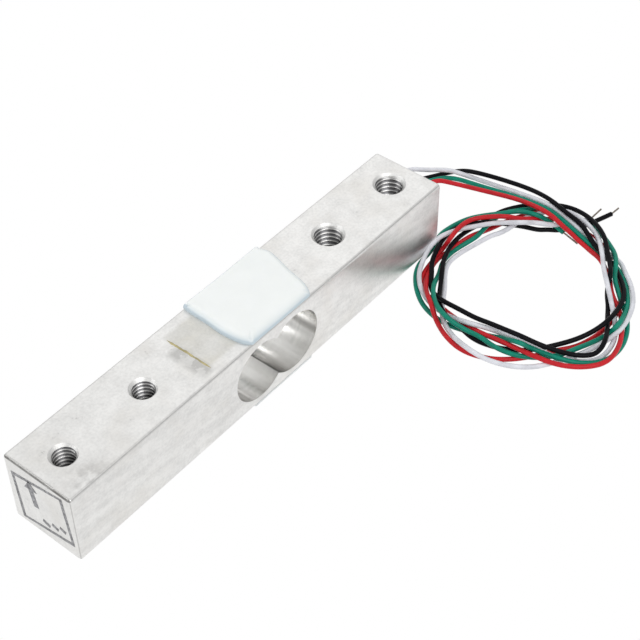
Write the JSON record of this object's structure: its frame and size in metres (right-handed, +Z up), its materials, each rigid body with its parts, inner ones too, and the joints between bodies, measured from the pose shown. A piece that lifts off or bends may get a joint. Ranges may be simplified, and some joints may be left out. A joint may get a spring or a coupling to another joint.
{
  "type": "weighing load cell",
  "caption": "Bar load cell: an aluminium bar with a twin bore, tapped mounting holes, gauges under white silicone, and insulated leads lying in a loose coil.",
  "frame": {"origin": "on the surface the cell lies on, under the middle of the bar", "axes": "+X along the bar to the cable end, +Y to the side the leads leave, +Z up"},
  "size_m": [0.1042, 0.0537, 0.0147],
  "materials": {
    "aluminium": "satin machined",
    "black_insulation": "satin",
    "board": "glass epoxy",
    "coil": "satin",
    "film": "amber film",
    "foil": "etched foil",
    "green_insulation": "satin",
    "pads": "copper",
    "red_insulation": "satin",
    "silicone": "glossy white silicone",
    "solder": "bright solder",
    "strands": "tinned copper",
    "white_insulation": "satin"
  },
  "bodies": {
    "root": {"bar": "aluminium", "black_lead": "black_insulation", "black_lead_tail": "black_insulation", "black_lead_tip": "strands", "board_solder": "solder", "bottom_black_link_wire": "black_insulation", "bottom_far_gauge_film": "film", "bottom_far_gauge_grid": "foil", "bottom_gauge_jumper": "white_insulation", "bottom_gauge_solder": "solder", "bottom_near_gauge_film": "film", "bottom_near_gauge_grid": "foil", "bottom_red_link_wire": "red_insulation", "bottom_silicone": "silicone", "bottom_white_link_wire": "white_insulation", "green_lead": "green_insulation", "green_lead_tip": "strands", "lead_coil": "coil", "lead_inner_ends": "strands", "red_lead": "red_insulation", "red_lead_tip": "strands", "side_silicone": "silicone", "terminal_board": "board", "terminal_pads": "pads", "top_black_link_wire": "black_insulation", "top_far_gauge_film": "film", "top_far_gauge_grid": "foil", "top_gauge_jumper": "green_insulation", "top_gauge_solder": "solder", "top_green_link_wire": "green_insulation", "top_near_gauge_film": "film", "top_near_gauge_grid": "foil", "top_red_link_wire": "red_insulation", "top_silicone": "silicone", "white_lead": "white_insulation", "white_lead_tip": "strands"}
  },
  "joints": []
}
